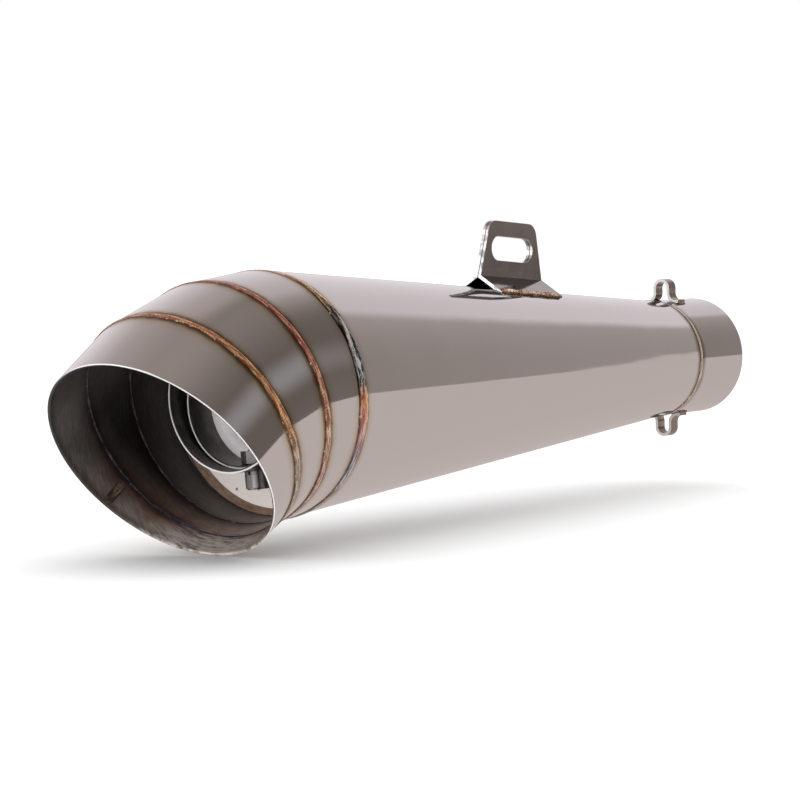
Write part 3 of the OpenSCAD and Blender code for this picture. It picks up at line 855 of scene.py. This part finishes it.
def build_mouth_seam():
    """The rolled mouth's lengthwise weld, on its inner side."""
    middle = points_of("mouth_seam_weld").mean(0) - MOUTH.start
    turn = np.array([math.atan2(middle @ MOUTH.side, middle @ MOUTH.up)])
    a = MOUTH.at(turn, MOUTH.near, MOUTH.wall, 2.5 * MM)[0]
    b = MOUTH.at(turn, MOUTH.far, MOUTH.wall, -0.8 * MM)[0]
    path = [a + (b - a) * share for share in np.linspace(0, 1, 121)]
    outs = [-MOUTH.spokes(turn)[0]] * len(path)
    made = line_bead("mouth_seam_bead", path, outs, SEAM_WIDTH, 0.4 * MM, 1.3 * MM, 0.06 * MM, 9.0)
    brown = plain_weld("weld_brown", (0.14, 0.08, 0.05), (0.42, 0.30, 0.22), shine=0.35, toe=0.30)
    placed(made, [brown], "mouth_seam_weld")


def hanger_bead(side):
    """A row of broad ripples along one foot of the hanger."""
    low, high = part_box("hanger_welds")
    y = side * (max(-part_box("hanger_right")[0].y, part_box("hanger_left")[1].y) + 0.2 * MM)
    path, outs = [], []
    for x in np.linspace(high.x - 3 * MM, low.x, 260):
        r = CONE.radius + (CONE.start[0] - x) * CONE.slope
        z = math.sqrt(r * r - y * y)
        path.append((x, y, z + 0.1 * MM))
        out = np.array((CONE.slope, y / r, z / r))
        outs.append(out / np.linalg.norm(out))
    return line_bead("bead", path, outs, HANGER_WIDTH, 1.2 * MM, HANGER_PITCH, 0.55 * MM, 20.0 + side)


def build_hanger_welds():
    """The two bronze beads of the hanger, as one piece."""
    bronze = plain_weld("weld_bronze", (0.40, 0.19, 0.11), (1.0, 0.80, 0.62), shine=0.16,
                        toe=0.25, pitch=HANGER_PITCH)
    made = joined("hanger_beads", [hanger_bead(side) for side in (-1, 1)])
    placed(made, [bronze], "hanger_welds")


def hook_bead(end, side):
    """A short bead at one toe of a spring hook."""
    low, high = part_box("hook_welds")
    y = side * (high.y - 1.3 * MM)
    z = end * math.sqrt(COLLAR.radius ** 2 - y * y)
    path = [(x, y, z) for x in np.linspace(low.x + 0.2 * MM, high.x - 0.2 * MM, 70)]
    outs = [np.array((0, y, z)) / COLLAR.radius] * len(path)
    return line_bead("bead", path, outs, HOOK_WIDTH, 0.6 * MM, 1.4 * MM, 0.1 * MM, 30 + side + end)


def build_hook_welds():
    """The four small beads of the two spring hooks, as one piece."""
    brown = plain_weld("weld_hook", (0.16, 0.10, 0.08), (0.70, 0.54, 0.44), shine=0.25, toe=0.4)
    made = joined("hook_beads", [hook_bead(end, side) for end in (1, -1) for side in (-1, 1)])
    placed(made, [brown], "hook_welds")


def finish_cad_nodes():
    """Materials of the CAD nodes that are shown as they are."""
    inner = turned_steel("inner_brushed", SOOT_DARK, SOOT_GREY, 0.28, 0.8)
    pipe = turned_steel("pipe_brushed", SOOT_DARK, SOOT_GREY, 0.28, 0.8, "outlet_pipe")
    sleeve = turned_steel("sleeve_brushed", SOOT_DARK, SOOT_GREY, 0.26, 0.8, "insert_sleeve")
    # the insert's end ring gets a faint painted glow
    insert = turned_steel("insert_satin", (0.90, 0.85, 0.86), (1.0, 0.97, 0.98), 0.28, 0.1,
                          painted_glow=0.16)
    fillet = plain_weld("weld_fillet", (0.30, 0.26, 0.24), (0.85, 0.78, 0.74), toe=1.0)
    bright, plate = fastener_steel(), end_plate_steel()
    rust = turned_steel("weld_rust", (0.30, 0.18, 0.12), (0.66, 0.48, 0.36), 0.3, 0.3)
    hanger = bracket_steel("hanger_polish", (0.58, 0.55, 0.53), (0.68, 0.65, 0.63), True)
    hook = bracket_steel("hook_polish", (0.22, 0.18, 0.15), (0.60, 0.54, 0.50))
    looks = {
        "end_plate": plate,
        "end_plate_weld": rust,
        "outlet_pipe_weld": fillet,
        "outlet_pipe": pipe,
        "perforated_core": inner,
        "core_rear_ring": inner,
        "packing_wool": wool(),
        "insert_sleeve": sleeve,
        "insert_end_ring": insert,
        "insert_perforated_tube": inner,
        "insert_end_cap": inner,
        "clamp_nut": bright,
        "lock_washer": bright,
        "retaining_screw": bright,
        "hanger_left": hanger,
        "hanger_right": hanger,
        "spring_hook_top": hook,
        "spring_hook_bottom": hook,
    }
    for node, material in looks.items():
        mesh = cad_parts[node].data
        mesh.materials.clear()
        mesh.materials.append(material)


# ---------- floor, light and camera ----------


def build_floor():
    """A plain pale floor just under the muffler."""
    level = packed_low[2] - FLOOR_GAP
    corners = [(MIDDLE.x + right * FLOOR_HALF, back * FLOOR_HALF, level)
               for right, back in ((-1, -1), (1, -1), (1, 1), (-1, 1))]
    mesh = bpy.data.meshes.new("floor")
    mesh.from_pydata(corners, [], [(0, 1, 2, 3)])
    floor = bpy.data.objects.new("floor", mesh)
    bpy.context.scene.collection.objects.link(floor)
    s = Shade("pale_floor")
    grain = s.node("ShaderNodeTexNoise", {"Vector": s.place(), "Scale": 90.0, "Detail": 3.0})
    paper = s.blend(grain.outputs["Fac"], PAPER, PAPER_GRAIN)
    matte = s.node("ShaderNodeBsdfDiffuse", {"Color": paper})
    out = s.node("ShaderNodeOutputMaterial")
    s.tree.links.new(matte.outputs[0], out.inputs["Surface"])
    mesh.materials.append(s.block)
    # the steel mirrors the studio's table instead, so the floor isn't mirrored twice
    floor.visible_glossy = False


def studio_angles(s, ray):
    """A ray's elevation and its turn from the camera's right hand, in degrees, and its rise."""
    ahead = s.node(
        "ShaderNodeVectorTransform",
        {"Vector": (0.0, 0.0, 1.0)},
        vector_type="VECTOR",
        convert_from="CAMERA",
        convert_to="WORLD",
    ).outputs[0]
    ahead = s.vector("NORMALIZE", s.vector("MULTIPLY", ahead, (1.0, 1.0, 0.0)))
    right = s.vector("CROSS_PRODUCT", ahead, (0.0, 0.0, 1.0))
    rise = s.node("ShaderNodeSeparateXYZ", {0: ray}).outputs[2]
    turn = s.math("ARCTAN2", s.vector("DOT_PRODUCT", ray, ahead),
                  s.vector("DOT_PRODUCT", ray, right))
    return s.math("DEGREES", s.math("ARCSINE", rise)), s.math("DEGREES", turn), rise


def build_studio():
    """A table, a pale backdrop, a dim room with one soft lamp, a window and a ceiling."""
    s = Shade("studio", world=True)
    ray = s.node("ShaderNodeTexCoord").outputs["Generated"]
    el, turn, rise = studio_angles(s, ray)

    # the backdrop stands behind the table, and its edge bows away as it rises
    bow = s.math("POWER", s.math("DIVIDE", s.math("MAXIMUM", el, 0.0), 60.0), 2.0)
    edge = s.math("MULTIPLY_ADD", bow, BACKDROP_BOW, BACKDROP_EDGE)
    soft = s.math("MULTIPLY_ADD", bow, 12.0, BACKDROP_BLUR)
    past = s.math("SUBTRACT", edge, turn)
    backdrop = s.blend(s.fade(el, 5, 55), BACKDROP_LOW, BACKDROP_HIGH)
    room = s.blend(s.fade(past, ROOM_REACH, 0), ROOM_DARK, ROOM_LIGHT)
    # the lamp hangs about 25 degrees up, on the room's side
    lamp = s.math("MULTIPLY", s.fade(el, 12, 25), s.fade(el, 40, 26))
    lamp = s.math("MULTIPLY", lamp, s.fade(turn, 26, 10))
    room = s.blend(s.math("MULTIPLY", lamp, 0.6), room, LAMP)
    upper = s.blend(s.fade(s.math("DIVIDE", past, soft), 1, -1), room, backdrop)
    upper = s.blend(s.fade(el, 34, 85), upper, CEILING)
    # the window is on the left, half a turn from the camera's right hand
    window = s.math("MAXIMUM", s.fade(turn, 150, 172), s.fade(turn, -128, -150))
    upper = s.blend(window, upper, WINDOW)

    # the table's far edge is a little higher below the backdrop
    table = s.blend(s.fade(el, -35, -75), TABLE, TABLE_NEAR)
    horizon = s.fade(turn, 28.5, 32.5, HORIZON_ROOM, HORIZON_BACKDROP)
    above = s.fade(s.math("SUBTRACT", el, horizon), -0.25, 0.25)
    seen = s.blend(above, table, upper)

    # mirror rays see the studio, the camera sees white, and matte surfaces get a white dome
    path = s.node("ShaderNodeLightPath").outputs
    dome = s.fade(rise, -0.2, 1.0, DOME_LOW, DOME_HIGH, smooth=False)
    mirror = s.node("ShaderNodeBackground", {"Color": seen, "Strength": 1.0}).outputs[0]
    soft_light = s.node("ShaderNodeBackground", {"Color": WHITE, "Strength": dome}).outputs[0]
    white = s.node("ShaderNodeBackground", {"Color": WHITE, "Strength": 1.0}).outputs[0]
    lit = s.node("ShaderNodeMixShader", {0: path["Is Glossy Ray"], 1: soft_light, 2: mirror})
    both = s.node("ShaderNodeMixShader", {0: path["Is Camera Ray"], 1: lit.outputs[0], 2: white})
    out = s.node("ShaderNodeOutputWorld")
    s.tree.links.new(both.outputs[0], out.inputs["Surface"])
    bpy.context.scene.world = s.block
    s.block.cycles.sampling_method = "NONE"


def build_camera():
    """A long lens at the named angles."""
    back = Vector((math.sin(AZIMUTH) * math.cos(ELEVATION),
                   -math.cos(AZIMUTH) * math.cos(ELEVATION), math.sin(ELEVATION)))
    level = Vector((math.cos(AZIMUTH), math.sin(AZIMUTH), 0.0))
    above = back.cross(level)
    spot = MIDDLE + back * DISTANCE + level * AIM_RIGHT + above * AIM_UP
    right = level * math.cos(ROLL) + above * math.sin(ROLL)
    up = back.cross(right)
    data = bpy.data.cameras.new("camera")
    data.lens = LENS
    data.clip_start, data.clip_end = 0.05, 40.0
    camera = bpy.data.objects.new("camera", data)
    bpy.context.scene.collection.objects.link(camera)
    turn = Matrix((right, up, back)).transposed()
    camera.matrix_world = Matrix.Translation(spot) @ turn.to_4x4()
    bpy.context.scene.camera = camera


def set_look():
    """Plain colours and enough bounces for the mouth's inside."""
    scene = bpy.context.scene
    scene.view_settings.view_transform = "Standard"
    scene.view_settings.look = "None"
    scene.cycles.max_bounces = 10
    scene.cycles.glossy_bounces = 7
    scene.cycles.diffuse_bounces = 3
    scene.cycles.use_denoising = True


build_shell()
build_elbow_welds()
build_inlet_weld()
build_mouth_seam()
build_hanger_welds()
build_hook_welds()
finish_cad_nodes()
build_floor()
build_studio()
build_camera()
set_look()
